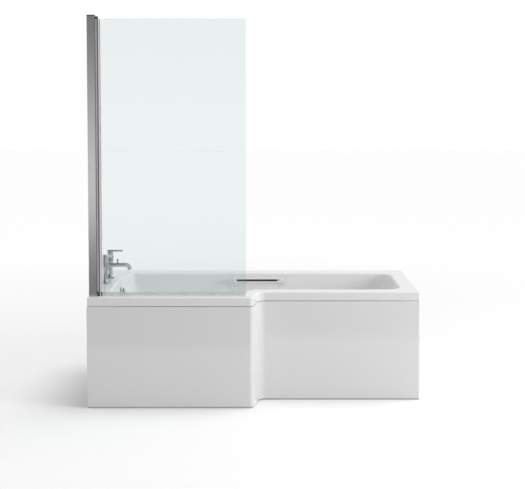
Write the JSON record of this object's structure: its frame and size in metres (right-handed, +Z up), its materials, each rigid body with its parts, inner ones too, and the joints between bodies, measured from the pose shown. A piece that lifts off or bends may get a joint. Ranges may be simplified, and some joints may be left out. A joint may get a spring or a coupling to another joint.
{
  "type": "stepped shower bath with screen",
  "caption": "White acrylic shower bath with a stepped front and panel, a hinged glass screen, deck mixer, grip, pop-up waste and adjustable feet.",
  "frame": {"origin": "middle of the footprint, on the floor", "axes": "+X along the bath from the tap end to the foot end, +Y from the front towards the wall, +Z up"},
  "size_m": [1.706, 0.853, 1.983],
  "materials": {
    "shell_acrylic": "gloss white acrylic",
    "panel_acrylic": "gloss white acrylic",
    "chipboard": "raw chipboard",
    "timber": "planed softwood",
    "zinc_steel": "bright zinc plate",
    "foot_plastic": "moulded nylon",
    "satin_aluminium": "satin polished",
    "black_plastic": "moulded",
    "safety_glass": "clear toughened glass",
    "clear_seal": "clear flexible extrusion",
    "black_rubber": "moulded",
    "cable_sheath": "smooth sheath",
    "chrome": "polished",
    "brass": "machined",
    "waste_plastic": "moulded polypropylene"
  },
  "bodies": {
    "bath": {"bath_shell": "shell_acrylic", "front_panel": "panel_acrylic", "baseboard": "chipboard", "rim_batten_back": "timber", "rim_batten_wide": "timber", "rim_batten_narrow": "timber", "floor_batten_wide": "timber", "floor_batten_narrow": "timber", "leg_bars": "zinc_steel", "leg_screws": "zinc_steel", "foot_studs": "zinc_steel", "foot_nuts": "zinc_steel", "centre_foot_plate": "zinc_steel", "wall_brackets": "zinc_steel", "wall_bracket_screws": "zinc_steel", "panel_clips": "zinc_steel", "profile_screws": "zinc_steel", "grip_bolts": "zinc_steel", "foot_pads": "foot_plastic", "wall_profile": "satin_aluminium", "pivot_profile": "satin_aluminium", "top_pivot": "satin_aluminium", "bottom_pivot": "black_plastic", "grip_insert": "black_plastic", "mixer_washers": "black_rubber", "waste_seal": "black_rubber", "overflow_seal": "black_rubber", "drive_cable": "cable_sheath", "mixer_body": "chrome", "mixer_flanges": "chrome", "spout": "chrome", "aerator": "chrome", "shower_outlet": "chrome", "grip_bar": "chrome", "grip_brackets": "chrome", "waste_flange": "chrome", "overflow_cover": "chrome", "mixer_backnuts": "brass", "mixer_tails": "brass", "hot_cartridge": "brass", "cold_cartridge": "brass", "waste_body": "waste_plastic", "trap": "waste_plastic", "overflow_body": "waste_plastic", "overflow_pipe": "waste_plastic", "pipe_clips": "waste_plastic"},
    "screen": {"hinge_post": "satin_aluminium", "glass_panel": "safety_glass", "glass_gasket": "clear_seal", "bottom_seal": "clear_seal", "seal_end": "black_plastic"},
    "hot_handle": {"hot_spindle": "brass", "hot_lever": "chrome"},
    "cold_handle": {"cold_spindle": "brass", "cold_lever": "chrome"},
    "diverter": {"diverter_knob": "chrome"},
    "dial": {"overflow_dial": "chrome"},
    "plug_unit": {"plug": "chrome", "plug_seal": "black_rubber"}
  },
  "joints": [
    {"name": "screen_swing", "type": "hinge", "parent": "bath", "child": "screen", "pos_m": [-0.798, -0.3735, 1.27], "axis": [0, 0, 1], "range_deg": [-90, 60]},
    {"name": "hot_turn", "type": "hinge", "parent": "bath", "child": "hot_handle", "pos_m": [-0.82, -0.0135, 0.711], "axis": [0, 0, 1], "range_deg": [0, 90]},
    {"name": "cold_turn", "type": "hinge", "parent": "bath", "child": "cold_handle", "pos_m": [-0.82, 0.1665, 0.711], "axis": [0, 0, 1], "range_deg": [-90, 0]},
    {"name": "diverter_pull", "type": "slide", "parent": "bath", "child": "diverter", "axis": [0, 0, 1], "range_m": [0, 0.008], "stiffness_N_per_m": 60},
    {"name": "dial_turn", "type": "hinge", "parent": "bath", "child": "dial", "pos_m": [-0.7443, 0.0765, 0.493], "axis": [0.9848, 0, 0.1736], "range_deg": [0, 90]},
    {"name": "plug_lift", "type": "slide", "parent": "bath", "child": "plug_unit", "axis": [0, 0, 1], "range_m": [0, 0.009]}
  ],
  "couplings": [
    {"joint": "plug_lift", "follows": "dial_turn", "m_per_rad": 0.005729}
  ]
}
